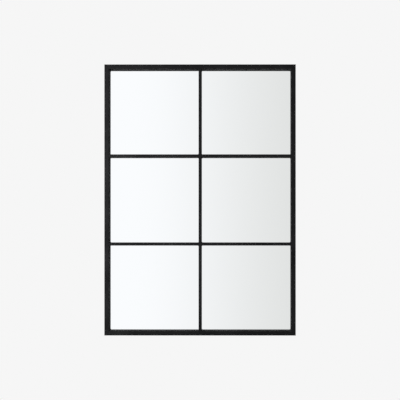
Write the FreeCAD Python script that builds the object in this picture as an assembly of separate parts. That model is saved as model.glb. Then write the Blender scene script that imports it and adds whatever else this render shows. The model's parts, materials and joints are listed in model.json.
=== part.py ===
import FreeCAD, Part
import math
import os

from FreeCAD import Vector

# Outdoor wall mirror: a welded black steel frame with window bars over one mirror sheet.
# Millimetres. +X is right as seen from the front, the mirror faces -Y and +Z is up.
# The origin is on the wall plane, midway between the entry holes of the two keyhole hangers.

# Whole frame
FRAME_WIDTH = 600.0
FRAME_HEIGHT = 850.0
HANGER_DROP = 60.0  # from the frame's top edge down to the keyhole entry holes
STAND_OFF = 6.5  # from the rear of the frame to the wall

# Rails and stiles: a rebated tube, whose ledge takes the mirror from behind
FRONT_FACE = 14.0  # width of the tube seen from the front
RAIL_WALL = 1.5
REBATE_LEDGE = 6.0
RAIL_EDGE_RADIUS = 1.0
DRAIN_RADIUS = 2.5
DRAIN_SPACING = 400.0

# Window bars: flat bar on edge, half-lapped where the bars cross
BAR_FACE = 9.0
BAR_DEPTH = 20.0
BAR_EDGE_RADIUS = 0.6
LAP_CLEARANCE = 0.05

# Layers behind the ledge, from front to back
TAPE_THICKNESS = 1.0
TAPE_INSET = 1.0  # back from the edge of the metal that the tape is stuck to
TAPE_ROOT_GAP = 0.5
TAPE_JOINT_GAP = 0.2
GLASS_THICKNESS = 4.0
GLASS_GAP = 1.5
GLASS_ARRIS = 0.4
FILM_THICKNESS = 0.3
CUSHION_THICKNESS = 1.7
BOARD_THICKNESS = 6.0
BOARD_GAP = 1.0

# Blocks that carry and centre the mirror in the rebate
BLOCK_LENGTH = 50.0
BLOCK_SPACING = 300.0
PACKER_LENGTH = 40.0
PACKER_SPACING = 500.0

# Screws, all alike
SCREW_RADIUS = 1.5
SCREW_SHANK = 9.5
SCREW_TIP = 2.0
SCREW_CLEARANCE = 0.05
SCREW_HEAD_RADIUS = 2.75
SCREW_HEAD_RIM = 0.8
SCREW_HEAD_HEIGHT = 1.9
RECESS_LENGTH = 3.0
RECESS_WIDTH = 0.8
RECESS_DEPTH = 1.1

# Turn buttons that hold the back board
BUTTON_THICKNESS = 1.2
BUTTON_EYE_RADIUS = 3.4
BUTTON_TIP_RADIUS = 2.7
BUTTON_REACH = 17.0  # from the pivot to the centre of the rounded tip
BUTTON_LIFT = 0.2
BUTTON_HEAD_GAP = 0.2
BUTTON_END_DISTANCE = 170.0  # from the frame's top and bottom edges to the outer stile buttons
BUTTON_RAIL_SPACING = 300.0

# Keyhole hangers: joggled plates, whose raised pad lies on the wall
PLATE_THICKNESS = 2.0
PLATE_EDGE_INSET = 0.3
PLATE_CORNER_RADIUS = 3.0
PLATE_SCREW_INSET = 7.0
BEND_OFFSET = 1.0
BEND_RADIUS = 1.0
BEND_ANGLE = 45.0
KEYHOLE_ENTRY_RADIUS = 5.0
KEYHOLE_SLOT_RADIUS = 2.5
KEYHOLE_RISE = 12.0
KEYHOLE_SIDE_METAL = 6.0
KEYHOLE_END_METAL = 9.0

# Rubber wall pads
PAD_LENGTH = 25.0
PAD_END_INSET = 15.0
PAD_SIDE_INSET = 0.5
PAD_EDGE_RADIUS = 0.8

OVERRUN = 1.0  # how far a cut runs past the face that it starts from

# Depths along Y, from the wall forwards
wall_y = 0.0
back_y = wall_y - STAND_OFF
board_y = back_y - BOARD_THICKNESS
cushion_y = board_y - CUSHION_THICKNESS
film_y = cushion_y - FILM_THICKNESS
glass_y = film_y - GLASS_THICKNESS
ledge_y = glass_y - TAPE_THICKNESS
front_y = ledge_y - BAR_DEPTH

# Sizes that follow from the driving dimensions
rail_depth = back_y - front_y
leg_width = FRONT_FACE - REBATE_LEDGE
mid_z = HANGER_DROP - FRAME_HEIGHT / 2
half_width = FRAME_WIDTH / 2
half_height = FRAME_HEIGHT / 2
half_pane_width = half_width - FRONT_FACE
half_pane_height = half_height - FRONT_FACE
half_rebate_width = half_width - leg_width
half_rebate_height = half_height - leg_width
half_glass_width = half_rebate_width - GLASS_GAP
half_glass_height = half_rebate_height - GLASS_GAP
bore_radius = SCREW_RADIUS + SCREW_CLEARANCE

# Transoms by name, with their side of the middle row of panes
TRANSOM_SIDES = {"upper": 1, "lower": -1}
pane_row_height = (2 * half_pane_height - len(TRANSOM_SIDES) * BAR_FACE) / (len(TRANSOM_SIDES) + 1)
transom_rise = (pane_row_height + BAR_FACE) / 2

# Keyhole plate, measured inwards from the frame's outer face
plate_bend = leg_width + BEND_OFFSET
plate_lift = STAND_OFF - PLATE_THICKNESS
pad_start = plate_bend + plate_lift / math.tan(math.radians(BEND_ANGLE))
keyhole_inset = pad_start + KEYHOLE_SIDE_METAL + KEYHOLE_ENTRY_RADIUS
plate_end = keyhole_inset + KEYHOLE_ENTRY_RADIUS + KEYHOLE_SIDE_METAL
plate_low = -KEYHOLE_ENTRY_RADIUS - KEYHOLE_END_METAL
plate_high = KEYHOLE_RISE + KEYHOLE_SLOT_RADIUS + KEYHOLE_END_METAL

Y_AXIS = Vector(0, 1, 0)
ORIGIN = Vector(0, 0, 0)


def box_between(low, high):
    """Box from its lowest corner to its highest one."""
    size = high - low
    return Part.makeBox(size.x, size.y, size.z, low)


def rounded_wire(points, radii):
    """Closed wire through the points, with each corner rounded by its own radius."""
    edges = []
    last_end = None
    first_start = None
    for index, corner in enumerate(points):
        back = (points[index - 1] - corner).normalize()
        ahead = (points[(index + 1) % len(points)] - corner).normalize()
        half_turn = back.getAngle(ahead) / 2
        run = radii[index] / math.tan(half_turn)
        start, end = corner + back * run, corner + ahead * run
        if last_end is None:
            first_start = start
        else:
            edges.append(Part.LineSegment(last_end, start).toShape())
        if radii[index] > 0:
            inset = radii[index] / math.sin(half_turn) - radii[index]
            middle = corner + (back + ahead).normalize() * inset
            edges.append(Part.Arc(start, middle, end).toShape())
        last_end = end
    edges.append(Part.LineSegment(last_end, first_start).toShape())
    return Part.Wire(edges)


def prism(points, radii, along):
    """Solid with the rounded outline, drawn out along a vector."""
    return Part.Face(rounded_wire(points, radii)).extrude(along)


def mitred_tube(length, reach):
    """Rail of the frame, centred on X, with its outer face at height reach and its ends mitred."""
    def section_point(inward, back):
        return Vector(-length / 2, front_y + back, reach - inward)

    def step_outline(inset):
        ledge, leg = FRONT_FACE - inset, leg_width - inset
        return [
            section_point(inset, inset),
            section_point(ledge, inset),
            section_point(ledge, BAR_DEPTH - inset),
            section_point(leg, BAR_DEPTH - inset),
            section_point(leg, rail_depth - inset),
            section_point(inset, rail_depth - inset),
        ]

    along = Vector(length, 0, 0)
    edge = RAIL_EDGE_RADIUS
    tube = prism(step_outline(0), [edge, edge, edge, 0, edge, edge], along)
    tube = tube.cut(prism(step_outline(RAIL_WALL), [0] * len(step_outline(0)), along))
    mitre = [
        Vector(-length / 2, front_y, reach),
        Vector(length / 2, front_y, reach),
        Vector(length / 2 - FRONT_FACE, front_y, reach - FRONT_FACE),
        Vector(FRONT_FACE - length / 2, front_y, reach - FRONT_FACE),
    ]
    return tube.common(prism(mitre, [0] * len(mitre), Vector(0, rail_depth, 0)))


def screw_hole(x, seat_y, z):
    """Cutter for one screw, from behind the face at seat_y into the hollow of the tube."""
    depth = SCREW_SHANK + OVERRUN
    return Part.makeCylinder(bore_radius, depth, Vector(x, seat_y - SCREW_SHANK, z), Y_AXIS)


def drain_hole(x):
    """Cutter for one drain hole, up through the underside of the bottom rail."""
    low = Vector(x, front_y + BAR_DEPTH / 2, mid_z - half_height - OVERRUN)
    return Part.makeCylinder(DRAIN_RADIUS, RAIL_WALL + 2 * OVERRUN, low)


def frame_rails():
    """The four mitred tubes, with their screw holes and drains."""
    sides = {
        "top_rail": (FRAME_WIDTH, half_height, 0),
        "right_stile": (FRAME_HEIGHT, half_width, 90),
        "bottom_rail": (FRAME_WIDTH, half_height, 180),
        "left_stile": (FRAME_HEIGHT, half_width, 270),
    }
    places = [(x, z) for x, z, _ in button_places().values()] + hanger_screw_places()
    holes = [screw_hole(x, back_y, z) for x, z in places]
    holes += [drain_hole(side * DRAIN_SPACING / 2) for side in (-1, 1)]
    rails = {}
    for name, (length, reach, angle) in sides.items():
        rail = mitred_tube(length, reach)
        rail.rotate(ORIGIN, Y_AXIS, angle)
        rail.translate(Vector(0, 0, mid_z))
        rails[name] = rail.cut(holes)
    return rails


def bar_blank(low, along, across):
    """Flat bar from a corner, along its length, with its face across and its long edges rounded."""
    depth = Vector(0, BAR_DEPTH, 0)
    outline = [low, low + across, low + across + depth, low + depth]
    return prism(outline, [BAR_EDGE_RADIUS] * len(outline), along)


def window_bars():
    """The mullion and the transoms, notched half through where they cross."""
    half_bar = BAR_FACE / 2
    half_notch = half_bar + LAP_CLEARANCE
    lap_y = front_y + BAR_DEPTH / 2
    mullion = bar_blank(
        Vector(-half_bar, front_y, mid_z - half_pane_height),
        Vector(0, 0, 2 * half_pane_height),
        Vector(BAR_FACE, 0, 0),
    )
    bars = {}
    for name, side in TRANSOM_SIDES.items():
        z = mid_z + side * transom_rise
        transom = bar_blank(
            Vector(-half_pane_width, front_y, z - half_bar),
            Vector(2 * half_pane_width, 0, 0),
            Vector(0, 0, BAR_FACE),
        )
        front_notch = box_between(
            Vector(-half_notch, front_y - OVERRUN, z - BAR_FACE),
            Vector(half_notch, lap_y, z + BAR_FACE),
        )
        rear_notch = box_between(
            Vector(-BAR_FACE, lap_y, z - half_notch),
            Vector(BAR_FACE, ledge_y + OVERRUN, z + half_notch),
        )
        bars[name + "_transom"] = transom.cut(front_notch)
        mullion = mullion.cut(rear_notch)
    bars["mullion"] = mullion
    return bars


def tape_strip(low_x, high_x, low_z, high_z):
    """One strip of foam tape on the plane of the ledge, placed from the frame's middle."""
    return box_between(Vector(low_x, ledge_y, mid_z + low_z), Vector(high_x, glass_y, mid_z + high_z))


def glazing_tapes():
    """Foam tape on the ledge and behind each bar."""
    outer_x, outer_z = half_rebate_width - TAPE_ROOT_GAP, half_rebate_height - TAPE_ROOT_GAP
    inner_x, inner_z = half_pane_width + TAPE_INSET, half_pane_height + TAPE_INSET
    end_x, end_z = inner_x - TAPE_JOINT_GAP, inner_z - TAPE_JOINT_GAP
    half_tape = BAR_FACE / 2 - TAPE_INSET
    side_z = inner_z - TAPE_JOINT_GAP
    tapes = {
        "tape_top": tape_strip(-outer_x, outer_x, inner_z, outer_z),
        "tape_bottom": tape_strip(-outer_x, outer_x, -outer_z, -inner_z),
        "tape_left": tape_strip(-outer_x, -inner_x, -side_z, side_z),
        "tape_right": tape_strip(inner_x, outer_x, -side_z, side_z),
        "tape_mullion": tape_strip(-half_tape, half_tape, -end_z, end_z),
    }
    start_x = half_tape + TAPE_JOINT_GAP
    for name, side in TRANSOM_SIDES.items():
        low, high = side * transom_rise - half_tape, side * transom_rise + half_tape
        tapes["tape_" + name + "_left"] = tape_strip(-end_x, -start_x, low, high)
        tapes["tape_" + name + "_right"] = tape_strip(start_x, end_x, low, high)
    return tapes


def layer(half_x, half_z, front, back):
    """One flat layer of the stack, centred in the frame."""
    return box_between(Vector(-half_x, front, mid_z - half_z), Vector(half_x, back, mid_z + half_z))


def mirror_stack():
    """The mirror and the layers behind it."""
    glass = layer(half_glass_width, half_glass_height, glass_y, film_y)
    rim = [edge for edge in glass.Edges if abs(edge.tangentAt(edge.FirstParameter).y) < 0.5]
    half_board_x = half_rebate_width - BOARD_GAP
    half_board_z = half_rebate_height - BOARD_GAP
    return {
        "mirror_glass": glass.makeChamfer(GLASS_ARRIS, rim),
        "safety_film": layer(half_glass_width, half_glass_height, film_y, cushion_y),
        "cushion_sheet": layer(half_glass_width, half_glass_height, cushion_y, board_y),
        "back_board": layer(half_board_x, half_board_z, board_y, back_y),
    }


def rebate_blocks():
    """Setting blocks under the mirror and packers at its sides, as thick as its edge gap."""
    floor_z, seat_z = mid_z - half_rebate_height, mid_z - half_glass_height
    setting, packers = [], []
    for side in (-1, 1):
        x = side * BLOCK_SPACING / 2
        low = Vector(x - BLOCK_LENGTH / 2, glass_y, floor_z)
        setting.append(box_between(low, Vector(x + BLOCK_LENGTH / 2, board_y, seat_z)))
        near, far = sorted((side * half_glass_width, side * half_rebate_width))
        for level in (-1, 1):
            z = mid_z + level * PACKER_SPACING / 2
            low = Vector(near, glass_y, z - PACKER_LENGTH / 2)
            packers.append(box_between(low, Vector(far, board_y, z + PACKER_LENGTH / 2)))
    return {"setting_blocks": Part.makeCompound(setting), "side_packers": Part.makeCompound(packers)}


def pan_screw(x, seat_y, z):
    """Pan head screw with a cross recess, its head seated at seat_y and its tip in the frame."""
    rise = SCREW_HEAD_HEIGHT - SCREW_HEAD_RIM
    dome_radius = (SCREW_HEAD_RADIUS**2 + rise**2) / (2 * rise)
    half_dome = math.asin(SCREW_HEAD_RADIUS / dome_radius) / 2
    dome_centre = SCREW_HEAD_HEIGHT - dome_radius
    top = Vector(0, SCREW_HEAD_HEIGHT, 0)
    rim = Vector(SCREW_HEAD_RADIUS, SCREW_HEAD_RIM, 0)
    on_dome = Vector(dome_radius * math.sin(half_dome), dome_centre + dome_radius * math.cos(half_dome), 0)
    corners = [
        Vector(0, SCREW_HEAD_HEIGHT, 0),
        Vector(0, -SCREW_SHANK, 0),
        Vector(SCREW_RADIUS, SCREW_TIP - SCREW_SHANK, 0),
        Vector(SCREW_RADIUS, 0, 0),
        Vector(SCREW_HEAD_RADIUS, 0, 0),
        rim,
    ]
    edges = [Part.LineSegment(a, b).toShape() for a, b in zip(corners, corners[1:])]
    edges.append(Part.Arc(rim, on_dome, top).toShape())
    screw = Part.Face(Part.Wire(edges)).revolve(ORIGIN, Y_AXIS, 360)
    recess_floor = SCREW_HEAD_HEIGHT - RECESS_DEPTH
    for half_x, half_z in ((RECESS_LENGTH, RECESS_WIDTH), (RECESS_WIDTH, RECESS_LENGTH)):
        low = Vector(-half_x / 2, recess_floor, -half_z / 2)
        high = Vector(half_x / 2, SCREW_HEAD_HEIGHT + OVERRUN, half_z / 2)
        screw = screw.cut(box_between(low, high))
    screw.translate(Vector(x, seat_y, z))
    return screw


def button_places():
    """Each turn button's pivot and the angle about Y that points it inwards over the board."""
    stile_x = half_width - leg_width / 2
    rail_z = half_height - leg_width / 2
    outer_z = half_height - BUTTON_END_DISTANCE
    rail_x = BUTTON_RAIL_SPACING / 2
    places = {}
    for level, z in (("upper", outer_z), ("middle", 0), ("lower", -outer_z)):
        places["turn_button_left_" + level] = (-stile_x, mid_z + z, 0)
        places["turn_button_right_" + level] = (stile_x, mid_z + z, 180)
    for side, x in (("left", -rail_x), ("right", rail_x)):
        places["turn_button_top_" + side] = (x, mid_z + rail_z, 90)
        places["turn_button_bottom_" + side] = (x, mid_z - rail_z, 270)
    return places


def turn_button(x, z, angle):
    """Flat finger with a round eye at its pivot and a smaller round tip."""
    y = back_y + BUTTON_LIFT
    slope = math.asin((BUTTON_EYE_RADIUS - BUTTON_TIP_RADIUS) / BUTTON_REACH)

    def on_circle(centre_x, radius, side):
        return Vector(centre_x + radius * math.sin(slope), y, side * radius * math.cos(slope))

    eye_low, eye_high = (on_circle(0, BUTTON_EYE_RADIUS, side) for side in (-1, 1))
    tip_low, tip_high = (on_circle(BUTTON_REACH, BUTTON_TIP_RADIUS, side) for side in (-1, 1))
    outline = Part.Wire([
        Part.Arc(eye_high, Vector(-BUTTON_EYE_RADIUS, y, 0), eye_low).toShape(),
        Part.LineSegment(eye_low, tip_low).toShape(),
        Part.Arc(tip_low, Vector(BUTTON_REACH + BUTTON_TIP_RADIUS, y, 0), tip_high).toShape(),
        Part.LineSegment(tip_high, eye_high).toShape(),
    ])
    finger = Part.Face(outline).extrude(Vector(0, BUTTON_THICKNESS, 0))
    bore_low = Vector(0, y - OVERRUN, 0)
    finger = finger.cut(Part.makeCylinder(bore_radius, BUTTON_THICKNESS + 2 * OVERRUN, bore_low, Y_AXIS))
    finger.rotate(ORIGIN, Y_AXIS, angle)
    finger.translate(Vector(x, 0, z))
    return finger


def board_fasteners():
    """The turn buttons and their screws."""
    seat_y = back_y + BUTTON_LIFT + BUTTON_THICKNESS + BUTTON_HEAD_GAP
    places = button_places()
    nodes = {name: turn_button(*place) for name, place in places.items()}
    screws = [pan_screw(x, seat_y, z) for x, z, _ in places.values()]
    nodes["turn_button_screws"] = Part.makeCompound(screws)
    return nodes


def hanger_screw_places():
    """The four screws of the hanger plates, on the middle of the stiles' rear legs."""
    x = half_width - leg_width / 2
    levels = (plate_low + PLATE_SCREW_INSET, plate_high - PLATE_SCREW_INSET)
    return [(side * x, z) for side in (-1, 1) for z in levels]


def keyhole_cutter(x):
    """Cutter for a keyhole: the entry for a screw's head, with the slot for its shank above it."""
    y = wall_y - PLATE_THICKNESS - OVERRUN
    depth = PLATE_THICKNESS + 2 * OVERRUN
    entry = Part.makeCylinder(KEYHOLE_ENTRY_RADIUS, depth, Vector(x, y, 0), Y_AXIS)
    slot_end = Part.makeCylinder(KEYHOLE_SLOT_RADIUS, depth, Vector(x, y, KEYHOLE_RISE), Y_AXIS)
    slot = box_between(
        Vector(x - KEYHOLE_SLOT_RADIUS, y, 0),
        Vector(x + KEYHOLE_SLOT_RADIUS, y + depth, KEYHOLE_RISE),
    )
    return entry.fuse([slot, slot_end])


def left_hanger_plate():
    """Plate screwed to the left stile, stepped back to the wall, with its keyhole in the step."""
    def profile_point(inward, y):
        return Vector(inward - half_width, y, plate_low)

    bend_shift = PLATE_THICKNESS * math.tan(math.radians(BEND_ANGLE) / 2)
    outer_bend = BEND_RADIUS + PLATE_THICKNESS
    profile = [
        profile_point(PLATE_EDGE_INSET, back_y),
        profile_point(plate_bend, back_y),
        profile_point(pad_start, wall_y - PLATE_THICKNESS),
        profile_point(plate_end, wall_y - PLATE_THICKNESS),
        profile_point(plate_end, wall_y),
        profile_point(pad_start - bend_shift, wall_y),
        profile_point(plate_bend - bend_shift, back_y + PLATE_THICKNESS),
        profile_point(PLATE_EDGE_INSET, back_y + PLATE_THICKNESS),
    ]
    radii = [0, outer_bend, BEND_RADIUS, 0, 0, outer_bend, BEND_RADIUS, 0]
    plate = prism(profile, radii, Vector(0, 0, plate_high - plate_low))
    outline = [
        Vector(inward - half_width, back_y, z)
        for inward, z in (
            (PLATE_EDGE_INSET, plate_low),
            (plate_end, plate_low),
            (plate_end, plate_high),
            (PLATE_EDGE_INSET, plate_high),
        )
    ]
    plate = plate.common(prism(outline, [PLATE_CORNER_RADIUS] * len(outline), Vector(0, STAND_OFF, 0)))
    holes = [screw_hole(x, back_y + PLATE_THICKNESS, z) for x, z in hanger_screw_places()]
    return plate.cut(holes + [keyhole_cutter(keyhole_inset - half_width)])


def hangers():
    """The two keyhole plates and their screws."""
    left = left_hanger_plate()
    seat_y = back_y + PLATE_THICKNESS
    screws = [pan_screw(x, seat_y, z) for x, z in hanger_screw_places()]
    return {
        "hanger_plate_left": left,
        "hanger_plate_right": left.mirror(ORIGIN, Vector(1, 0, 0)),
        "hanger_screws": Part.makeCompound(screws),
    }


def wall_pad(side, level):
    """Rubber pad on the rear of the top or bottom rail, near its end."""
    ends = (half_width - PAD_END_INSET - PAD_LENGTH, half_width - PAD_END_INSET)
    edges = (half_height - leg_width + PAD_SIDE_INSET, half_height - PAD_SIDE_INSET)
    near_x, far_x = sorted(side * end for end in ends)
    low_z, high_z = sorted(mid_z + level * edge for edge in edges)
    pad = box_between(Vector(near_x, back_y, low_z), Vector(far_x, wall_y, high_z))
    rounded = [edge for edge in pad.Edges if edge.BoundBox.YMax - back_y > STAND_OFF / 2]
    return pad.makeFillet(PAD_EDGE_RADIUS, rounded)


def wall_pads():
    """The four pads that keep the frame off the wall."""
    return {
        f"wall_pad_{level_name}_{side_name}": wall_pad(side, level)
        for level_name, level in (("top", 1), ("bottom", -1))
        for side_name, side in (("left", -1), ("right", 1))
    }


os.makedirs("parts", exist_ok=True)
groups = (
    frame_rails,
    window_bars,
    glazing_tapes,
    mirror_stack,
    rebate_blocks,
    board_fasteners,
    hangers,
    wall_pads,
)
for group in groups:
    for node, shape in group().items():
        shape.exportStep(f"parts/{node}.step")
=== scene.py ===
"""Looks of a window-style outdoor wall mirror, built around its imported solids.

The steel sections, the mirror, the layers behind it, the hangers and the pads keep their solids and get
finishes. Weld beads, ground mitre seams, screws, turn buttons and the back board are made here. Sizes are
in metres, in the frame of the solids: +X is right as seen from the front, the mirror faces -Y, +Z is up.
"""

import json
import logging
import math
from collections.abc import Sequence
from dataclasses import dataclass
from enum import Enum
from typing import Any

import bmesh
import bpy
from bpy.types import Material, Mesh, Node, NodeOutputs, NodeSocket, NodeTree, Object
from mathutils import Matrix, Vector


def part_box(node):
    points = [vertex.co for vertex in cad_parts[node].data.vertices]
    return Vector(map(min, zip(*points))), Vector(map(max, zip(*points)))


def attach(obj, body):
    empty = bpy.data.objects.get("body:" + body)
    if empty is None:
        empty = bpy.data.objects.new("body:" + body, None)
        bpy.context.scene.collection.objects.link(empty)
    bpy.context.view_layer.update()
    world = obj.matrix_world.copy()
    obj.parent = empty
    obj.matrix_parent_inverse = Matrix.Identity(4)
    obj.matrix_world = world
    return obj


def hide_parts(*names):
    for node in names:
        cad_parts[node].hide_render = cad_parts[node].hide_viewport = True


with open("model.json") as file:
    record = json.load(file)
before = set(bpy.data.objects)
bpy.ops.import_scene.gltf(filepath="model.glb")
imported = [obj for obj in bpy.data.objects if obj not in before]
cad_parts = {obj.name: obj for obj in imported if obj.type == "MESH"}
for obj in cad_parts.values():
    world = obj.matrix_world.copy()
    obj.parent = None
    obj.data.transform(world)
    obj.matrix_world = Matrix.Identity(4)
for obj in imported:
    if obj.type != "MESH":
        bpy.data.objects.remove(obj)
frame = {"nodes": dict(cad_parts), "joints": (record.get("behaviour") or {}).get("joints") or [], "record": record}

LOG = logging.getLogger("outdoor_mirror")
FRAME_BODY = "frame"
SHARP_ANGLE = math.radians(32)
QUARTER_TURN = math.pi / 2

Colour = tuple[float, float, float, float]
Place = tuple[float, float, float]
Span = tuple[float, float]
Inputs = dict[str, Any]


class Slot(Enum):
    """Names of material slots in the record, passed along with new pieces."""

    POWDER_COAT = "powder_coat"
    BOARD = "board"
    BUTTON_STEEL = "button_steel"
    SCREW_STEEL = "screw_steel"


def linear(hex_colour: str) -> Colour:
    """Turn an sRGB hex colour into linear RGBA.

    Args:
        hex_colour: the colour as "#RRGGBB".

    Returns:
        Red, green, blue and alpha, each from 0 to 1.
    """
    channels = [int(hex_colour[start:start + 2], 16) / 255 for start in (1, 3, 5)]
    red, green, blue = (c / 12.92 if c <= 0.04045 else ((c + 0.055) / 1.055) ** 2.4 for c in channels)
    return red, green, blue, 1.0


def scale_of(size_mm: float) -> float:
    """Scale of a pattern whose features are size_mm wide, on coordinates in metres."""
    return 1000 / size_mm


def socket_of(sockets: Any, key: str) -> NodeSocket:
    """Find a node's socket by its identifier, or else by its name.

    Args:
        sockets: a node's inputs or outputs.
        key: identifier or name. The identifier tells apart sockets that share a name.

    Returns:
        The socket.
    """
    return next((s for s in sockets if s.identifier == key), None) or sockets[key]


class NodeSheet:
    """A node tree that is being laid out."""

    def __init__(self, tree: NodeTree) -> None:
        """Start on a tree."""
        self.tree = tree

    def plug(self, node: Node, inputs: Inputs) -> None:
        """Link or set a node's inputs.

        Args:
            node: the node.
            inputs: by socket, an output socket or a list of them to link from, or a constant to set.
        """
        for key, value in inputs.items():
            socket = socket_of(node.inputs, key)
            sources = value if isinstance(value, list) else [value]
            if isinstance(sources[0], NodeSocket):
                for source in sources:
                    self.tree.links.new(source, socket)
            else:
                socket.default_value = value

    def add(self, kind: str, inputs: Inputs | None = None, **settings: Any) -> NodeOutputs:
        """Add a node with its settings, constants and links.

        Args:
            kind: the node's type name.
            inputs: by socket, what to link or to set, as for plug.
            **settings: the node's own properties.

        Returns:
            The new node's outputs.
        """
        node = self.tree.nodes.new(kind)
        for name, value in settings.items():
            setattr(node, name, value)
        self.plug(node, inputs or {})
        return node.outputs


class SkinTree(NodeSheet):
    """A material's tree, with its shader and the coordinates of the piece that wears it."""

    def __init__(self, material: Material) -> None:
        """Start on a material.

        Args:
            material: a new material with nodes.
        """
        super().__init__(material.node_tree)
        self.shader = self.tree.nodes["Principled BSDF"]
        self.place = self.add("ShaderNodeTexCoord")["Object"]

    def shade(self, inputs: Inputs) -> None:
        """Link or set the shader's inputs."""
        self.plug(self.shader, inputs)


@dataclass(frozen=True)
class Finish:
    """A finish, made once as a node material and then shared."""

    name: str

    def material(self) -> Material:
        """Give the finish's material, built on first use.

        Returns:
            The material.
        """
        known = bpy.data.materials.get(self.name)
        if known:
            return known
        made = bpy.data.materials.new(self.name)
        made.use_nodes = True
        self.dress(SkinTree(made))
        return made

    def dress(self, skin: SkinTree) -> None:
        """Set the shader's constants and link its patterns.

        Args:
            skin: the material's tree.
        """
        raise NotImplementedError


@dataclass(frozen=True, kw_only=True)
class GrainedFinish(Finish):
    """A finish whose colour and roughness follow patterns, over a fine relief."""

    dark: str
    pale: str
    tone_span: Span = (0.0, 1.0)  # what the colour's pattern gives at dark and at pale
    least_roughness: float
    most_roughness: float | None = None  # none where the roughness is the same all over
    gloss_top: float = 1.0  # what the roughness's pattern gives at the most
    relief_depth: float

    def spread(
        self, skin: SkinTree, tone: NodeSocket, relief: NodeSocket, gloss: NodeSocket | None = None
    ) -> None:
        """Run the colour and the roughness over their patterns, and raise the relief.

        Args:
            skin: the material's tree.
            tone: the colour's pattern.
            relief: the relief's pattern.
            gloss: the roughness's pattern, if it has one.
        """
        low, high = self.tone_span
        share = skin.add("ShaderNodeMapRange", {"Value": tone, "From Min": low, "From Max": high})
        colour = skin.add("ShaderNodeMix", {
            "Factor_Float": share["Result"], "A_Color": linear(self.dark), "B_Color": linear(self.pale),
        }, data_type="RGBA")
        bump = skin.add("ShaderNodeBump", {"Height": relief, "Distance": self.relief_depth})
        roughness: Any = self.least_roughness
        if gloss is not None:
            roughness = skin.add("ShaderNodeMapRange", {
                "Value": gloss, "From Max": self.gloss_top,
                "To Min": self.least_roughness, "To Max": self.most_roughness,
            })["Result"]
        skin.shade({
            "Base Color": socket_of(colour, "Result_Color"),
            "Roughness": roughness, "Normal": bump["Normal"],
        })


@dataclass(frozen=True, kw_only=True)
class PowderCoat(GrainedFinish):
    """Polyester powder coat, sprayed dry and baked on steel."""

    # It gives the eye a closed matt black skin with a fine grain, drawn about twice its size so that it shows,
    # over slow clouds of deeper and paler black. The grain's colour is painted shade in its dips and painted
    # highlight on its crowns; the clouds are the coat's own tone.
    dark: str = "#171718"
    pale: str = "#2B2B2C"
    tone_span: Span = (0.7, 1.3)
    least_roughness: float = 0.6
    most_roughness: float = 0.72
    specular_level: float = 0.07
    relief_depth: float = 0.00004
    grain_mm: float = 1.6
    cloud_mm: float = 80.0

    def dress(self, skin: SkinTree) -> None:
        """Cloud the black, paint shade into the grain's dips and highlight on its crowns, vary the sheen, and
        raise the grain.

        Args:
            skin: the material's tree.
        """
        cloud, grain = (
            skin.add("ShaderNodeTexNoise", {
                "Vector": skin.place, "Scale": scale_of(size), "Detail": detail,
            })["Fac"]
            for size, detail in ((self.cloud_mm, 3.0), (self.grain_mm, 2.0))
        )
        # Painted shade and highlight: the grain added to the clouds darkens the coat where the grain sinks and
        # pales it where it rises.
        tone_and_painted_shade = skin.add("ShaderNodeMath", {"Value": cloud, "Value_001": grain}, operation="ADD")
        self.spread(skin, tone=tone_and_painted_shade["Value"], relief=grain, gloss=grain)
        skin.shade({"Specular IOR Level": self.specular_level})


@dataclass(frozen=True)
class SilveredGlass(Finish):
    """Float glass, silvered on its back."""

    # It gives the eye a clear, almost colourless reflection, with slow waves and a trace of haze.
    silver: str = "#FAFCFE"
    clear_roughness: float = 0.0
    hazy_roughness: float = 0.015
    haze_span: Span = (0.4, 0.8)  # what the haze's pattern gives where it is clear and where it is hazy
    haze_mm: float = 45.0
    wave_mm: float = 160.0
    wave_depth: float = 0.00002

    def dress(self, skin: SkinTree) -> None:
        """Wave the reflection and vary its haze.

        Args:
            skin: the material's tree.
        """
        wave, haze = (
            skin.add("ShaderNodeTexNoise", {"Vector": skin.place, "Scale": scale_of(size), "Detail": detail})
            for size, detail in ((self.wave_mm, 2.0), (self.haze_mm, 4.0))
        )
        low, high = self.haze_span
        roughness = skin.add("ShaderNodeMapRange", {
            "Value": haze["Fac"], "From Min": low, "From Max": high,
            "To Min": self.clear_roughness, "To Max": self.hazy_roughness,
        })
        relief = skin.add("ShaderNodeBump", {"Height": wave["Fac"], "Distance": self.wave_depth})
        skin.shade({
            "Base Color": linear(self.silver), "Metallic": 1.0,
            "Roughness": roughness["Result"], "Normal": relief["Normal"],
        })


@dataclass(frozen=True, kw_only=True)
class CellularFoam(GrainedFinish):
    """Closed-cell foam, blown and slit into tape or sheet."""

    # It gives the eye a dull, pitted skin, whose cells are drawn about twice their size so that they show, with
    # painted shade in the cells' pits.
    least_roughness: float = 0.9
    relief_depth: float = 0.0001
    cell_mm: float = 1.0

    def dress(self, skin: SkinTree) -> None:
        """Sink the cells and paint shade into them, darker towards each cell's middle.

        Args:
            skin: the material's tree.
        """
        cells = skin.add("ShaderNodeTexVoronoi", {"Vector": skin.place, "Scale": scale_of(self.cell_mm)})
        # Painted shade: the colour follows the same pattern as the relief, so the pits are darker.
        self.spread(skin, tone=cells["Distance"], relief=cells["Distance"])


@dataclass(frozen=True, kw_only=True)
class PlasticFilm(GrainedFinish):
    """Polyethylene film, blown and stuck to the back of the silvering."""

    # It gives the eye a satin grey with soft creases, with painted shade in the creases.
    dark: str = "#85888A"
    pale: str = "#94979A"
    least_roughness: float = 0.42
    relief_depth: float = 0.00008
    crease_mm: float = 22.0

    def dress(self, skin: SkinTree) -> None:
        """Crease the film and paint shade into its creases, darker where they sink.

        Args:
            skin: the material's tree.
        """
        scale = scale_of(self.crease_mm)
        crease = skin.add("ShaderNodeTexNoise", {"Vector": skin.place, "Scale": scale, "Detail": 5.0})
        # Painted shade: the colour follows the crease relief, darker where it sinks.
        self.spread(skin, tone=crease["Fac"], relief=crease["Fac"])


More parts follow.
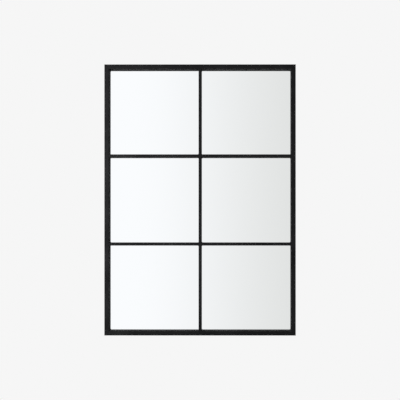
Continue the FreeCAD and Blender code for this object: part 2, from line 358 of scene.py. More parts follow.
@dataclass(frozen=True, kw_only=True)
class FoamedBoard(GrainedFinish):
    """Foamed PVC board, extruded and rolled flat."""

    # It gives the eye a matt charcoal skin with a fine pebble, drawn about twice its size so that it shows, and
    # with faint upright streaks from the rollers. The pebble's colour is painted shade, darker where the pebble
    # sinks; the streaks are the board's own tone.
    dark: str = "#292A2D"
    pale: str = "#343639"
    tone_span: Span = (0.12, 0.4)
    least_roughness: float = 0.58
    most_roughness: float = 0.76
    specular_level: float = 0.35
    relief_depth: float = 0.000084
    pebble_mm: float = 2.4
    streak_mm: float = 26.0
    streak_length_mm: float = 300.0

    def dress(self, skin: SkinTree) -> None:
        """Streak the colour along the board, paint shade into the pebble's dips, and raise the pebble.

        Args:
            skin: the material's tree.
        """
        across, along = scale_of(self.streak_mm), scale_of(self.streak_length_mm)
        run = skin.add("ShaderNodeMapping", {"Vector": skin.place, "Scale": (across, across, along)})
        patterns = ((run["Vector"], 1.0, 4.0), (skin.place, scale_of(self.pebble_mm), 3.0))
        streak, pebble = (
            skin.add("ShaderNodeTexNoise", {"Vector": place, "Scale": scale, "Detail": detail})["Fac"]
            for place, scale, detail in patterns
        )
        # Painted shade: the pebble darkens the streaked colour where the pebble sinks.
        tone_and_painted_shade = skin.add("ShaderNodeMath", {"Value": streak, "Value_001": pebble}, operation="MULTIPLY")
        self.spread(skin, tone=tone_and_painted_shade["Value"], relief=pebble, gloss=streak)
        skin.shade({"Specular IOR Level": self.specular_level})


@dataclass(frozen=True, kw_only=True)
class BareMetal(GrainedFinish):
    """Metal without paint: zinc plate, stamped or turned stainless steel."""

    # It gives the eye a soft metallic grey that breaks into patches, the spangle of zinc or the marks of
    # tumbling, with fine scratches across it.
    gloss_top: float = 0.6
    relief_depth: float = 0.000012
    patch_mm: float
    scratch_mm: float = 0.7

    def dress(self, skin: SkinTree) -> None:
        """Patch the colour and the gloss, and scratch the surface.

        Args:
            skin: the material's tree.
        """
        patch = skin.add("ShaderNodeTexVoronoi", {"Vector": skin.place, "Scale": scale_of(self.patch_mm)})
        tint = skin.add("ShaderNodeSeparateColor", {"Color": patch["Color"]})
        scratch = skin.add("ShaderNodeTexNoise", {
            "Vector": skin.place, "Scale": scale_of(self.scratch_mm), "Detail": 4.0,
        })["Fac"]
        gloss = skin.add("ShaderNodeMath", {
            "Value": tint["Green"], "Value_001": scratch,
        }, operation="MULTIPLY")
        self.spread(skin, tone=tint["Red"], relief=scratch, gloss=gloss["Value"])
        skin.shade({"Metallic": 1.0})


@dataclass(frozen=True, kw_only=True)
class MouldedRubber(GrainedFinish):
    """Black rubber, moulded or cut from sheet."""

    # It gives the eye a dull soft black, dusted paler in places, with the fine grain of the mould.
    dark: str = "#141415"
    pale: str = "#202021"
    least_roughness: float = 0.68
    most_roughness: float = 0.86
    relief_depth: float = 0.00005
    grain_mm: float = 0.9
    dust_mm: float = 9.0

    def dress(self, skin: SkinTree) -> None:
        """Dust the black and raise the grain.

        Args:
            skin: the material's tree.
        """
        dust, grain = (
            skin.add("ShaderNodeTexNoise", {"Vector": skin.place, "Scale": scale_of(size), "Detail": detail})
            for size, detail in ((self.dust_mm, 4.0), (self.grain_mm, 2.0))
        )
        self.spread(skin, tone=dust["Fac"], relief=grain["Fac"], gloss=dust["Fac"])


def dress_nodes(finish: Finish, names: Sequence[str]) -> None:
    """Give solids that stay in view a finish.

    Args:
        finish: the finish.
        names: the solids' nodes.
    """
    for name in names:
        frame["nodes"][name].material_slots[0].material = finish.material()
        LOG.info("%s: solid in %s", name, finish.name)


def settle(piece: Object, body: str, slot: Slot, stands_for: Sequence[str] = ()) -> None:
    """Let a new piece ride on its body and stand for its solids.

    Args:
        piece: the finished piece.
        body: the body that carries it.
        slot: not used.
        stands_for: nodes that it replaces.
    """
    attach(piece, body)
    if stands_for:
        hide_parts(*stands_for)
    LOG.info("%s: %d faces on %s", piece.name, len(piece.data.polygons), body)


def wire_mesh(name: str, runs: Sequence[Sequence[Vector]]) -> Mesh:
    """Make a mesh of open runs of edges, or of loose points.

    Args:
        name: the mesh's name.
        runs: each run's points in order.

    Returns:
        The mesh.
    """
    points: list[Vector] = []
    edges: list[tuple[int, int]] = []
    for run in runs:
        start = len(points)
        points += run
        edges += [(start + step, start + step + 1) for step in range(len(run) - 1)]
    mesh = bpy.data.meshes.new(name)
    mesh.from_pydata(points, edges, [])
    return mesh


def plain_piece(name: str, shell: bmesh.types.BMesh, finish: Finish) -> Object:
    """Turn a shell into a piece.

    Args:
        name: the piece's name.
        shell: its faces, which are freed.
        finish: its finish.

    Returns:
        The piece, at the origin.
    """
    mesh = bpy.data.meshes.new(name)
    shell.to_mesh(mesh)
    shell.free()
    mesh.materials.append(finish.material())
    piece = bpy.data.objects.new(name, mesh)
    bpy.context.scene.collection.objects.link(piece)
    return piece


class ShapeTree(NodeSheet):
    """A Geometry Nodes tree whose named inputs are sizes in metres."""

    def __init__(self, name: str, sizes: Sequence[str], vectors: Sequence[str] = ()) -> None:
        """Open the tree with its inputs.

        Args:
            name: the tree's name.
            sizes: names of its number inputs.
            vectors: names of its vector inputs.
        """
        super().__init__(bpy.data.node_groups.new(name, "GeometryNodeTree"))
        kinds = {"Geometry": "NodeSocketGeometry"}
        kinds |= {size: "NodeSocketFloat" for size in sizes}
        kinds |= {vector: "NodeSocketVector" for vector in vectors}
        kinds["Finish"] = "NodeSocketMaterial"
        face = self.tree.interface
        self.identifiers = {
            label: face.new_socket(label, in_out="INPUT", socket_type=kind).identifier
            for label, kind in kinds.items()
        }
        face.new_socket("Geometry", in_out="OUTPUT", socket_type="NodeSocketGeometry")
        self.given = self.add("NodeGroupInput")

    def shift(self, shape: NodeSocket, x: Any = 0.0, z: Any = 0.0) -> NodeSocket:
        """Move a shape along X and Z.

        Args:
            shape: the shape.
            x: how far along X, as a number or an output.
            z: how far along Z.

        Returns:
            The shape in its new place.
        """
        way = self.add("ShaderNodeCombineXYZ", {"X": x, "Z": z})
        moved = self.add("GeometryNodeTransform", {"Geometry": shape, "Translation": way["Vector"]})
        return moved["Geometry"]

    def close(self, shape: NodeSocket) -> None:
        """Smooth the shape, keep its sharp edges, and end the tree with its finish.

        Args:
            shape: the geometry that the tree makes.
        """
        smooth = self.add("GeometryNodeSetShadeSmooth", {"Geometry": shape})
        fold = self.add("GeometryNodeInputMeshEdgeAngle")
        sharp = self.add("FunctionNodeCompare", {"A": fold["Unsigned Angle"], "B": SHARP_ANGLE})
        shaded = self.add("GeometryNodeSetShadeSmooth", {
            "Geometry": smooth["Geometry"], "Selection": sharp["Result"], "Shade Smooth": False,
        }, domain="EDGE")
        real = self.add("GeometryNodeRealizeInstances", {"Geometry": shaded["Geometry"]})
        dressed = self.add("GeometryNodeSetMaterial", {
            "Geometry": real["Geometry"], "Material": self.given["Finish"],
        })
        self.add("NodeGroupOutput", {"Geometry": dressed["Geometry"]})

    def make(self, name: str, start: Mesh, sizes: Inputs, finish: Finish) -> Object:
        """Run the tree on a mesh and keep the result as a plain piece.

        Args:
            name: the piece's name.
            start: the mesh that the tree starts from.
            sizes: the tree's inputs by name.
            finish: the piece's finish.

        Returns:
            The piece, at the origin, with no modifier left.
        """
        piece = bpy.data.objects.new(name, start)
        bpy.context.scene.collection.objects.link(piece)
        modifier = piece.modifiers.new(self.tree.name, "NODES")
        modifier.node_group = self.tree
        for label, value in sizes.items():
            modifier[self.identifiers[label]] = value
        modifier[self.identifiers["Finish"]] = finish.material()
        graph = bpy.context.evaluated_depsgraph_get()
        mesh = bpy.data.meshes.new_from_object(
            piece.evaluated_get(graph), preserve_all_data_layers=True, depsgraph=graph
        )
        piece.modifiers.clear()
        piece.data = mesh
        bpy.data.meshes.remove(start)
        mesh.name = name
        return piece


@dataclass
class WeldedFrame:
    """Black steel frame: four mitred rails, three half-lapped bars, and the welds that join them."""

    coat: Finish
    bead_width: float = 0.0018  # from the corner to the bead's edge on either face
    bead_setback: float = 0.0032  # behind the front faces, where the welds are ground off
    ripple_length: float = 0.0015
    ripple_pitch: float = 0.0013
    ripple_spread: float = 0.12  # how much the ripples differ in size
    ripple_sides: int = 10
    ripple_rings: int = 6
    seam_radius: float = 0.0008
    seam_sink: float = 0.0006  # depth of the seam's centre line below the steel
    seam_sides: int = 10
    edge_radius: float = 0.0010
    edge_steps: int = 6
    seed: int = 7

    RAILS = ("top_rail", "bottom_rail", "left_stile", "right_stile")
    BARS = ("mullion", "upper_transom", "lower_transom")

    def dress(self) -> None:
        """Coat the steel sections."""
        dress_nodes(self.coat, self.RAILS + self.BARS)

    def build(self) -> None:
        """Make the weld beads and the ground seams."""
        settle(self.weld_beads(), FRAME_BODY, Slot.POWDER_COAT)
        settle(self.mitre_seams(), FRAME_BODY, Slot.POWDER_COAT)

    def pane_corners(self) -> list[tuple[float, float, Vector]]:
        """Find the corners of the six panes.

        Returns:
            Each corner's X and Z, with the direction from it into the pane.
        """
        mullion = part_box("mullion")
        lower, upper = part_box("lower_transom"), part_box("upper_transom")
        columns = (
            (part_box("left_stile")[1].x, mullion[0].x),
            (mullion[1].x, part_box("right_stile")[0].x),
        )
        rows = (
            (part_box("bottom_rail")[1].z, lower[0].z),
            (lower[1].z, upper[0].z),
            (upper[1].z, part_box("top_rail")[0].z),
        )
        return [
            (x, z, Vector((side, 0, rise)).normalized())
            for column in columns
            for row in rows
            for x, side in zip(column, (1, -1))
            for z, rise in zip(row, (1, -1))
        ]

    def weld_beads(self) -> Object:
        """Lay a rippled bead down the depth of every pane corner, where two sections meet.

        Returns:
            All the beads, as one piece.
        """
        low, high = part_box("mullion")
        start, end = low.y + self.bead_setback, high.y - self.ripple_length
        corners = self.pane_corners()
        runs = wire_mesh("weld_runs", [[Vector((x, start, z)), Vector((x, end, z))] for x, z, _ in corners])
        facing = runs.attributes.new("facing", "FLOAT_VECTOR", "POINT")
        facing.data.foreach_set("vector", [part for _, _, into in corners for part in (*into, *into)])

        shape = ShapeTree("weld_bead", ("Pitch", "Least Size"), ("Ripple Size",))
        given = shape.given
        line = shape.add("GeometryNodeMeshToCurve", {"Mesh": given["Geometry"]})
        steps = shape.add("GeometryNodeResampleCurve", {
            "Curve": line["Curve"], "Length": given["Pitch"],
        }, mode="LENGTH")
        ball = shape.add("GeometryNodeMeshUVSphere", {
            "Segments": self.ripple_sides, "Rings": self.ripple_rings, "Radius": 1.0,
        })
        ripple = shape.add("GeometryNodeTransform", {
            "Geometry": ball["Mesh"], "Scale": given["Ripple Size"],
        })
        into = shape.add("GeometryNodeInputNamedAttribute", {"Name": "facing"}, data_type="FLOAT_VECTOR")
        outward = shape.add("FunctionNodeAlignRotationToVector", {"Vector": into["Attribute"]}, axis="Z")
        tangent = shape.add("GeometryNodeInputTangent")
        turned = shape.add("FunctionNodeAlignRotationToVector", {
            "Rotation": outward["Rotation"], "Vector": tangent["Tangent"],
        }, axis="Y", pivot_axis="Z")
        size = shape.add("FunctionNodeRandomValue", {
            "Min_001": given["Least Size"], "Max_001": 1.0, "Seed": self.seed,
        })
        ripples = shape.add("GeometryNodeInstanceOnPoints", {
            "Points": steps["Curve"], "Instance": ripple["Geometry"],
            "Rotation": turned["Rotation"], "Scale": socket_of(size, "Value_001"),
        })
        shape.close(ripples["Instances"])
        sizes = {
            "Pitch": self.ripple_pitch,
            "Least Size": 1 - self.ripple_spread,
            "Ripple Size": (self.bead_width, self.ripple_length, self.bead_width),
        }
        return shape.make("weld_beads", runs, sizes, self.coat)

    def mitre_seams(self) -> Object:
        """Run a low ground seam over the front, the outer corner and the rear of each mitre.

        Returns:
            The four seams, as one piece.
        """
        low = Vector((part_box("left_stile")[0].x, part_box("top_rail")[0].y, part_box("bottom_rail")[0].z))
        high = Vector((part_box("right_stile")[1].x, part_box("top_rail")[1].y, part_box("top_rail")[1].z))
        face = high.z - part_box("top_rail")[0].z
        leg = 2 * (high.x - abs(frame["joints"][0]["pos_m"][0]))
        inset = self.seam_sink
        front, rear = low.y + inset, high.y - inset
        route = ((face - inset, front), (inset, front), (inset, rear), (leg - inset, rear))
        runs = [
            [Vector((x + side * inward, y, z + rise * inward)) for inward, y in route]
            for x, side in ((low.x, 1), (high.x, -1))
            for z, rise in ((low.z, 1), (high.z, -1))
        ]
        shape = ShapeTree("mitre_seam", ("Radius", "Edge Radius"))
        given = shape.given
        line = shape.add("GeometryNodeMeshToCurve", {"Mesh": given["Geometry"]})
        bent = shape.add("GeometryNodeFilletCurve", {
            "Curve": line["Curve"], "Count": self.edge_steps, "Radius": given["Edge Radius"],
        }, mode="POLY")
        ring = shape.add("GeometryNodeCurvePrimitiveCircle", {
            "Resolution": self.seam_sides, "Radius": given["Radius"],
        })
        seam = shape.add("GeometryNodeCurveToMesh", {
            "Curve": bent["Curve"], "Profile Curve": ring["Curve"], "Fill Caps": True,
        })
        shape.close(seam["Mesh"])
        sizes = {"Radius": self.seam_radius, "Edge Radius": self.edge_radius}
        return shape.make("mitre_seams", wire_mesh("seam_runs", runs), sizes, self.coat)


@dataclass
class MirrorStack:
    """The silvered mirror with its tapes, blocks, film and cushion sheet."""

    mirror: Finish
    tape: Finish
    film: Finish
    sheet: Finish
    block: Finish

    TAPES = (
        "tape_top", "tape_bottom", "tape_left", "tape_right", "tape_mullion",
        "tape_upper_left", "tape_upper_right", "tape_lower_left", "tape_lower_right",
    )

    def dress(self) -> None:
        """Give each layer its finish."""
        dress_nodes(self.mirror, ["mirror_glass"])
        dress_nodes(self.tape, self.TAPES)
        dress_nodes(self.film, ["safety_film"])
        dress_nodes(self.sheet, ["cushion_sheet"])
        dress_nodes(self.block, ["setting_blocks", "side_packers"])


@dataclass
class PanScrews:
    """Pan head screws with a cross recess, all alike and all driven in from behind."""

    steel: Finish
    head_radius: float = 0.00275
    head_height: float = 0.0019
    head_sides: int = 32
    head_rings: int = 8
    rim_height: float = 0.0007
    dome_power: float = 2.4  # 2 gives a round dome, more gives a flatter one
    recess_length: float = 0.0030
    recess_width: float = 0.0008
    recess_depth: float = 0.0011
    shank_length: float = 0.0095
    shank_sides: int = 20
    core_radius: float = 0.0012
    tip_length: float = 0.0020
    thread_radius: float = 0.0003
    thread_sides: int = 4
    thread_pitch: float = 0.0011
    seed: int = 3

    def build(self, name: str, node: str, seats: Sequence[Vector]) -> None:
        """Make one group of screws in place of its solids.

        Args:
            name: the piece's name.
            node: the node of the group's solids.
            seats: where the heads are seated.
        """
        core_length = self.shank_length - self.tip_length
        sizes = {
            "Head Radius": self.head_radius,
            "Head Height": self.head_height,
            "Rim Height": self.rim_height,
            "Recess Length": self.recess_length,
            "Recess Width": self.recess_width,
            "Recess Cut": 2 * self.recess_depth,
            "Core Radius": self.core_radius,
            "Core Length": core_length,
            "Core Middle": -core_length / 2,
            "Core End": -core_length,
            "Tip Length": self.tip_length,
            "Tip End": -self.shank_length,
            "Thread Radius": self.thread_radius,
            "Thread Turns": core_length / self.thread_pitch,
        }
        shape = ShapeTree(name + "_shape", tuple(sizes))
        screw = shape.add("GeometryNodeJoinGeometry", {"Geometry": [self.head(shape), *self.shank(shape)]})
        spin = shape.add("FunctionNodeRandomValue", {
            "Min_001": 0.0, "Max_001": math.pi, "Seed": self.seed,
        })
        about = shape.add("FunctionNodeAxisAngleToRotation", {
            "Axis": (0, 0, 1), "Angle": socket_of(spin, "Value_001"),
        })
        facing = shape.add("FunctionNodeEulerToRotation", {"Euler": (-QUARTER_TURN, 0, 0)})
        turned = shape.add("FunctionNodeRotateRotation", {
            "Rotation": facing["Rotation"], "Rotate By": about["Rotation"],
        }, rotation_space="LOCAL")
        screws = shape.add("GeometryNodeInstanceOnPoints", {
            "Points": shape.given["Geometry"], "Instance": screw["Geometry"], "Rotation": turned["Rotation"],
        })
        shape.close(screws["Instances"])
        piece = shape.make(name, wire_mesh(name + "_seats", [[seat] for seat in seats]), sizes, self.steel)
        settle(piece, FRAME_BODY, Slot.SCREW_STEEL, [node])

    def head(self, shape: ShapeTree) -> NodeSocket:
        """Dome a disc into the head and cut its cross recess.

        Args:
            shape: the screw's tree, with the head's axis along Z and its seat at zero.

        Returns:
            The head.
        """
        given = shape.given
        disc = shape.add("GeometryNodeMeshCylinder", {
            "Vertices": self.head_sides, "Fill Segments": self.head_rings,
            "Radius": given["Head Radius"], "Depth": given["Head Height"],
        })
        point = shape.add("GeometryNodeInputPosition")
        at = shape.add("ShaderNodeSeparateXYZ", {"Vector": point["Position"]})
        flat = shape.add("ShaderNodeCombineXYZ", {"X": at["X"], "Y": at["Y"]})
        out = shape.add("ShaderNodeVectorMath", {"Vector": flat["Vector"]}, operation="LENGTH")
        share = shape.add("ShaderNodeMath", {
            "Value": out["Value"], "Value_001": given["Head Radius"],
        }, operation="DIVIDE")
        raised = shape.add("ShaderNodeMath", {
            "Value": share["Value"], "Value_001": self.dome_power,
        }, operation="POWER")
        fall = shape.add("ShaderNodeMath", {
            "Value": 1.0, "Value_001": raised["Value"],
        }, operation="SUBTRACT", use_clamp=True)
        dome = shape.add("ShaderNodeMath", {
            "Value": fall["Value"], "Value_001": 1 / self.dome_power,
        }, operation="POWER")
        top = shape.add("ShaderNodeMapRange", {
            "Value": dome["Value"], "To Min": given["Rim Height"], "To Max": given["Head Height"],
        })
        upper = shape.add("FunctionNodeCompare", {"A": at["Z"], "B": 0.0})
        height = shape.add("ShaderNodeMath", {
            "Value": upper["Result"], "Value_001": top["Result"],
        }, operation="MULTIPLY")
        lifted = shape.add("ShaderNodeCombineXYZ", {"X": at["X"], "Y": at["Y"], "Z": height["Value"]})
        head = shape.add("GeometryNodeSetPosition", {"Geometry": disc["Mesh"], "Position": lifted["Vector"]})
        slots = []
        for long_way, short_way in (("X", "Y"), ("Y", "X")):
            size = shape.add("ShaderNodeCombineXYZ", {
                long_way: given["Recess Length"], short_way: given["Recess Width"], "Z": given["Recess Cut"],
            })
            block = shape.add("GeometryNodeMeshCube", {"Size": size["Vector"]})
            slots.append(shape.shift(block["Mesh"], z=given["Head Height"]))
        crossed = shape.add("GeometryNodeMeshBoolean", {
            "Mesh 1": head["Geometry"], "Mesh 2": slots,
        }, solver="EXACT")
        return crossed["Mesh"]

    def shank(self, shape: ShapeTree) -> list[NodeSocket]:
        """Make the core, the tip, and the thread that winds round the core.

        Args:
            shape: the screw's tree.

        Returns:
            The three shapes.
        """
        given = shape.given
        core = shape.add("GeometryNodeMeshCylinder", {
            "Vertices": self.shank_sides, "Radius": given["Core Radius"], "Depth": given["Core Length"],
        })
        tip = shape.add("GeometryNodeMeshCone", {
            "Vertices": self.shank_sides,
            "Radius Top": given["Core Radius"], "Radius Bottom": 0.0, "Depth": given["Tip Length"],
        })
        helix = shape.add("GeometryNodeCurveSpiral", {
            "Resolution": self.shank_sides, "Rotations": given["Thread Turns"],
            "Start Radius": given["Core Radius"], "End Radius": given["Core Radius"],
            "Height": given["Core Length"],
        })
        ridge = shape.add("GeometryNodeCurvePrimitiveCircle", {
            "Resolution": self.thread_sides, "Radius": given["Thread Radius"],
        })
        thread = shape.add("GeometryNodeCurveToMesh", {
            "Curve": helix["Curve"], "Profile Curve": ridge["Curve"], "Fill Caps": True,
        })
        levels = {"Core Middle": core, "Tip End": tip, "Core End": thread}
        return [shape.shift(part["Mesh"], z=given[level]) for level, part in levels.items()]


@dataclass
class TurnButtons:
    """The ten stamped fingers that hold the back board, each on its own pivot."""

    steel: Finish
    eye_radius: float = 0.0034
    tip_radius: float = 0.0027
    edge_round: float = 0.0003
    ring_sides: int = 40
    bore_radius: float = 0.00155
    bore_sides: int = 28
    bore_cut: float = 0.0048  # length of the cutter, half of it above the lower face
    rib_start: float = 0.0060  # from the pivot to the ends of the pressed rib
    rib_end: float = 0.0160
    rib_radius: float = 0.0013
    rib_height: float = 0.0004
    head_gap: float = 0.0002  # between a finger and its screw's head

    EDGE_RINGS = ((1.0, 0.0), (0.3, 0.3), (0.0, 1.0))  # how far in and how high, as shares of the rounding

    def build(self) -> list[Vector]:
        """Stamp each finger in place of its solid.

        Returns:
            Where the heads of the pivot screws are seated.
        """
        alike = {
            "Eye Radius": self.eye_radius,
            "Tip Radius": self.tip_radius,
            "Edge Round": self.edge_round,
            "Bore Radius": self.bore_radius,
            "Bore Cut": self.bore_cut,
            "Rib Start": self.rib_start,
            "Rib End": self.rib_end,
            "Rib Radius": self.rib_radius,
            "Rib Height": self.rib_height,
        }
        shape = self.finger(tuple(alike))
        seats = []
        for joint in frame["joints"]:
            body = joint["child"]
            (node,) = frame["record"]["behaviour"]["bodies"][body]
            low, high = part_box(node)
            pivot, middle = Vector(joint["pos_m"]), (low + high) / 2
            length, thickness = max(high.x - low.x, high.z - low.z), high.y - low.y
            sizes = alike | {
                "Reach": length - self.eye_radius - self.tip_radius,
                "Thickness": thickness,
                "Rib Root": thickness / 2,
                "Rib Top": thickness + self.rib_height,
                "Pivot": (pivot.x, low.y, pivot.z),
                "Turn": (-QUARTER_TURN, math.atan2(pivot.z - middle.z, middle.x - pivot.x), 0),
            }
            name = node.replace("turn_button", "stamped_button")
            piece = shape.make(name, bpy.data.meshes.new(name + "_start"), sizes, self.steel)
            settle(piece, body, Slot.BUTTON_STEEL, [node])
            seats.append(Vector((pivot.x, high.y + self.head_gap, pivot.z)))
        return seats

    def finger(self, alike: Sequence[str]) -> ShapeTree:
        """Draw the finger as the hull of two rounded discs, with a rib pressed up along it.

        Args:
            alike: names of the sizes that all fingers share.

        Returns:
            The finger's tree, along X from its pivot and with its thickness along Z, until it is turned.
        """
        shape = ShapeTree(
            "turn_button_shape", (*alike, "Reach", "Thickness", "Rib Root", "Rib Top"), ("Pivot", "Turn")
        )
        given = shape.given
        thickness = given["Thickness"]
        blank_rings = []
        for shares in self.EDGE_RINGS:
            inset, level = (
                shape.add("ShaderNodeMath", {
                    "Value": given["Edge Round"], "Value_001": share,
                }, operation="MULTIPLY")["Value"]
                for share in shares
            )
            upper = shape.add("ShaderNodeMath", {
                "Value": thickness, "Value_001": level,
            }, operation="SUBTRACT")
            for height in (level, upper["Value"]):
                blank_rings.append(self.ring(shape, given["Eye Radius"], inset, 0.0, height))
                blank_rings.append(self.ring(shape, given["Tip Radius"], inset, given["Reach"], height))
        levels = ((given["Rib Root"], 0.0), (thickness, 0.0), (given["Rib Top"], given["Rib Height"]))
        rib_rings = [
            self.ring(shape, given["Rib Radius"], inset, given[end], height)
            for end in ("Rib Start", "Rib End")
            for height, inset in levels
        ]
        hulls = []
        for rings in (rib_rings, blank_rings):
            outline = shape.add("GeometryNodeJoinGeometry", {"Geometry": rings})
            hull = shape.add("GeometryNodeConvexHull", {"Geometry": outline["Geometry"]})
            hulls.append(hull["Convex Hull"])
        ribbed = shape.add("GeometryNodeMeshBoolean", {"Mesh 2": hulls}, operation="UNION", solver="EXACT")
        bore = shape.add("GeometryNodeMeshCylinder", {
            "Vertices": self.bore_sides, "Radius": given["Bore Radius"], "Depth": given["Bore Cut"],
        })
        bored = shape.add("GeometryNodeMeshBoolean", {
            "Mesh 1": ribbed["Mesh"], "Mesh 2": bore["Mesh"],
        }, solver="EXACT")
        turn = shape.add("FunctionNodeEulerToRotation", {"Euler": given["Turn"]})
        placed = shape.add("GeometryNodeTransform", {
            "Geometry": bored["Mesh"], "Translation": given["Pivot"], "Rotation": turn["Rotation"],
        })
        shape.close(placed["Geometry"])
        return shape

    def ring(self, shape: ShapeTree, radius: NodeSocket, inset: Any, along: Any, height: Any) -> NodeSocket:
        """Place one ring of points for a hull.

        Args:
            shape: the finger's tree.
            radius: the disc's radius.
            inset: how much smaller this ring is.
            along: its distance from the pivot.
            height: its height through the thickness.

        Returns:
            The ring.
        """
        size = shape.add("ShaderNodeMath", {"Value": radius, "Value_001": inset}, operation="SUBTRACT")
        circle = shape.add("GeometryNodeMeshCircle", {"Vertices": self.ring_sides, "Radius": size["Value"]})
        return shape.shift(circle["Mesh"], along, height)


@dataclass
class BackBoard:
    """The weatherproof board that closes the back, with its sawn edges eased."""

    board: Finish
    edge_ease: float = 0.0006
    ease_steps: int = 3
    ease_profile: float = 0.5  # a round one

    def build(self) -> None:
        """Make the board in place of its solid."""
        low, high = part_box("back_board")
        shell = bmesh.new()
        bmesh.ops.create_cube(shell, size=1.0)
        bmesh.ops.scale(shell, vec=high - low, verts=shell.verts)
        bmesh.ops.translate(shell, vec=(low + high) / 2, verts=shell.verts)
        bmesh.ops.bevel(
            shell, geom=shell.edges[:], offset=self.edge_ease,
            segments=self.ease_steps, profile=self.ease_profile, affect="EDGES",
        )
        piece = plain_piece("eased_board", shell, self.board)
        piece.data.shade_smooth()
        piece.data.set_sharp_from_angle(angle=SHARP_ANGLE)
        settle(piece, FRAME_BODY, Slot.BOARD, ["back_board"])


@dataclass
class WallFittings:
    """The two keyhole hangers and the four pads that meet the wall."""

    zinc: Finish
    rubber: Finish
    plate_thickness: float = 0.0020
    screw_inset: float = 0.0070  # from a plate's lower and upper edges to its screws

    PLATES = ("hanger_plate_left", "hanger_plate_right")
    PADS = ("wall_pad_top_left", "wall_pad_top_right", "wall_pad_bottom_left", "wall_pad_bottom_right")

    def dress(self) -> None:
        """Give the plates and the pads their finishes."""
        dress_nodes(self.zinc, self.PLATES)
        dress_nodes(self.rubber, self.PADS)

    def screw_seats(self) -> list[Vector]:
        """Find where the heads of the hanger screws are seated.

        Returns:
            The four seats.
        """
        low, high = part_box(self.PLATES[0])
        x = frame["joints"][0]["pos_m"][0]
        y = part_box("left_stile")[1].y + self.plate_thickness
        levels = (low.z + self.screw_inset, high.z - self.screw_inset)
        return [Vector((side * x, y, z)) for side in (1, -1) for z in levels]


@dataclass(frozen=True)
class StudioFloor(Finish):
    """Pale painted floor, seen near the object and fading into the plain backdrop further out."""

    paint: str = "#F4F4F3"
    roughness: float = 0.9
    specular_level: float = 0.1
    seen_radius: float = 0.5
    fade_radius: float = 2.2

    def dress(self, skin: SkinTree) -> None:
        """Show the floor near the object, and the backdrop through it towards its rim.

        Args:
            skin: the material's tree.
        """
        level = skin.add("ShaderNodeVectorMath", {
            "Vector": skin.place, "Vector_001": (1, 1, 0),
        }, operation="MULTIPLY")
        out = skin.add("ShaderNodeVectorMath", {"Vector": level["Vector"]}, operation="LENGTH")
        fade = skin.add("ShaderNodeMapRange", {
            "Value": out["Value"], "From Min": self.seen_radius, "From Max": self.fade_radius,
        }, interpolation_type="SMOOTHSTEP")
        seen = skin.add("ShaderNodeLightPath")
        amount = seen["Is Camera Ray"]
        for other, operation in (
            (seen["Is Glossy Ray"], "MAXIMUM"),
            (seen["Is Transmission Ray"], "MAXIMUM"),
            (fade["Result"], "MULTIPLY"),
        ):
            step = skin.add("ShaderNodeMath", {"Value": amount, "Value_001": other}, operation=operation)
            amount = step["Value"]
        skin.shade({
            "Base Color": linear(self.paint), "Roughness": self.roughness,
            "Specular IOR Level": self.specular_level,
        })
        clear = skin.add("ShaderNodeBsdfTransparent")
        mixed = skin.add("ShaderNodeMixShader", {
            "Fac": amount, "Shader": skin.shader.outputs["BSDF"], "Shader_001": clear["BSDF"],
        })
        skin.plug(skin.tree.nodes["Material Output"], {"Surface": mixed["Shader"]})


@dataclass(frozen=True)
class SoftLight:
    """One soft square lamp."""

    name: str
    place: Place
    aim: Place
    side: float
    watts: float
    mirrored: bool  # whether mirror and metal show the lamp itself

    def build(self) -> None:
        """Hang the lamp and point it at its aim."""
        lamp = bpy.data.lights.new(self.name, "AREA")
        lamp.size = self.side
        lamp.energy = self.watts
        holder = bpy.data.objects.new(self.name, lamp)
        holder.location = self.place
        holder.rotation_mode = "QUATERNION"
        holder.rotation_quaternion = (Vector(self.aim) - Vector(self.place)).to_track_quat("-Z", "Y")
        holder.visible_camera = False
        holder.visible_glossy = self.mirrored
        bpy.context.scene.collection.objects.link(holder)


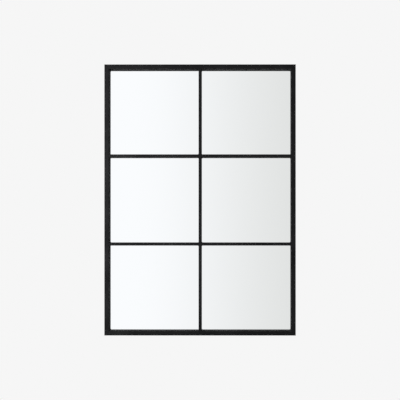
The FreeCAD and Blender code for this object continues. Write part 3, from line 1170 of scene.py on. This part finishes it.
@dataclass
class Studio:
    """Plain pale studio: floor, backdrop, soft light and the photograph's viewpoint."""

    backdrop: str = "#F6F6F6"
    ambient: str = "#636465"
    bright_side: str = "#FFFFFF"  # what the mirror faces, on its left and on its right
    dim_side: str = "#E3E3E0"
    sweep: Span = (-0.124, 0.116)  # sideways part of the direction, where the change between them runs
    far_side: str = "#8E9295"  # what it faces well to either side
    far_sweep: Span = (0.22, 1.0)
    floor_drop: float = 1.7  # from the hangers to the floor
    floor_radius: float = 6.0
    floor_sides: int = 96
    camera_place: Place = (0.0952, -2.6395, -0.4278)
    camera_turn: float = math.radians(0.165)
    camera_lens: float = 74.67
    camera_shift: Span = (-0.07, 0.05)

    LIGHTS = (
        SoftLight("key_light", (-0.95, -0.65, -0.3), (-0.3, 0.0, -0.36), 0.5, watts=15.0, mirrored=False),
        SoftLight("top_light", (0.0, -0.2, 1.9), (0.0, 0.0, -0.3), 1.4, watts=9.0, mirrored=False),
        SoftLight("rear_light", (1.1, 1.7, 0.9), (0.0, 0.0, -0.35), 2.2, watts=70.0, mirrored=True),
    )

    def build(self) -> None:
        """Set up the floor, the light and the camera."""
        self.lay_floor()
        self.light_world()
        for light in self.LIGHTS:
            light.build()
        self.place_camera()
        bpy.context.scene.view_settings.view_transform = "Standard"

    def lay_floor(self) -> None:
        """Lay a round pale floor below the object."""
        disc = bmesh.new()
        bmesh.ops.create_circle(disc, cap_ends=True, segments=self.floor_sides, radius=self.floor_radius)
        bmesh.ops.translate(disc, vec=(0, 0, -self.floor_drop), verts=disc.verts)
        plain_piece("floor", disc, StudioFloor("studio_floor_paint"))

    def light_world(self) -> None:
        """Light the object evenly, show a plain backdrop, and give the mirror a soft sweep to reflect."""
        world = bpy.data.worlds.new("studio_world")
        bpy.context.scene.world = world
        world.use_nodes = True
        sky = NodeSheet(world.node_tree)
        seen = sky.add("ShaderNodeLightPath")
        way = sky.add("ShaderNodeSeparateXYZ", {"Vector": sky.add("ShaderNodeTexCoord")["Generated"]})
        aside = sky.add("ShaderNodeMath", {"Value": way["X"]}, operation="ABSOLUTE")
        dimmed, beyond = (
            sky.add("ShaderNodeMapRange", {
                "Value": value, "From Min": start, "From Max": end,
            }, interpolation_type="SMOOTHSTEP")["Result"]
            for value, (start, end) in ((way["X"], self.sweep), (aside["Value"], self.far_sweep))
        )
        matt = sky.add("ShaderNodeMath", {
            "Value": 1.0, "Value_001": seen["Is Glossy Ray"],
        }, operation="SUBTRACT")
        open_view = sky.add("ShaderNodeMath", {
            "Value": seen["Is Camera Ray"], "Value_001": seen["Is Transmission Ray"],
        }, operation="MAXIMUM")
        colour: Any = linear(self.bright_side)
        for share, layer in (
            (dimmed, self.dim_side),
            (beyond, self.far_side),
            (matt["Value"], self.ambient),
            (open_view["Value"], self.backdrop),
        ):
            mixed = sky.add("ShaderNodeMix", {
                "Factor_Float": share, "A_Color": colour, "B_Color": linear(layer),
            }, data_type="RGBA")
            colour = socket_of(mixed, "Result_Color")
        sky.plug(sky.tree.nodes["Background"], {"Color": colour, "Strength": 1.0})

    def place_camera(self) -> None:
        """Stand the camera at the photograph's viewpoint, square to the mirror, a little low and right."""
        lens = bpy.data.cameras.new("camera")
        lens.lens = self.camera_lens
        lens.shift_x, lens.shift_y = self.camera_shift
        camera = bpy.data.objects.new("camera", lens)
        camera.location = self.camera_place
        camera.rotation_euler = (QUARTER_TURN, 0, self.camera_turn)
        bpy.context.scene.collection.objects.link(camera)
        bpy.context.scene.camera = camera


def main() -> None:
    """Dress the solids, build the new pieces and set the studio up around them."""
    logging.basicConfig(level=logging.INFO, format="%(name)s: %(message)s")
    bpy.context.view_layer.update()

    welded_frame = WeldedFrame(PowderCoat("matt_black_powder_coat"))
    welded_frame.dress()
    welded_frame.build()

    MirrorStack(
        mirror=SilveredGlass("silvered_float_glass"),
        tape=CellularFoam("closed_cell_foam_tape", dark="#0C0C0D", pale="#1B1B1C"),
        film=PlasticFilm("polyethylene_film"),
        sheet=CellularFoam("polyethylene_foam_sheet", dark="#C6C6C2", pale="#E2E2DE", cell_mm=1.6),
        block=MouldedRubber("chloroprene_rubber", dark="#18181A", pale="#222224"),
    ).dress()

    BackBoard(FoamedBoard("foamed_pvc_board")).build()
    stamped, zinc, turned = (
        BareMetal(name, dark=dark, pale=pale, least_roughness=least, most_roughness=most, patch_mm=patch)
        for name, dark, pale, least, most, patch in (
            ("stamped_stainless_steel", "#A9A7A3", "#C4C2BD", 0.24, 0.44, 2.6),
            ("bright_zinc_plate", "#9BA0A6", "#BCC1C6", 0.26, 0.5, 3.4),
            ("turned_stainless_steel", "#B3B2AF", "#CCCAC6", 0.18, 0.34, 1.8),
        )
    )
    pivots = TurnButtons(stamped).build()
    fittings = WallFittings(zinc, MouldedRubber("moulded_rubber"))
    fittings.dress()
    screws = PanScrews(turned)
    screws.build("pivot_screws", "turn_button_screws", pivots)
    screws.build("plate_screws", "hanger_screws", fittings.screw_seats())

    Studio().build()


if __name__ == "__main__":
    main()
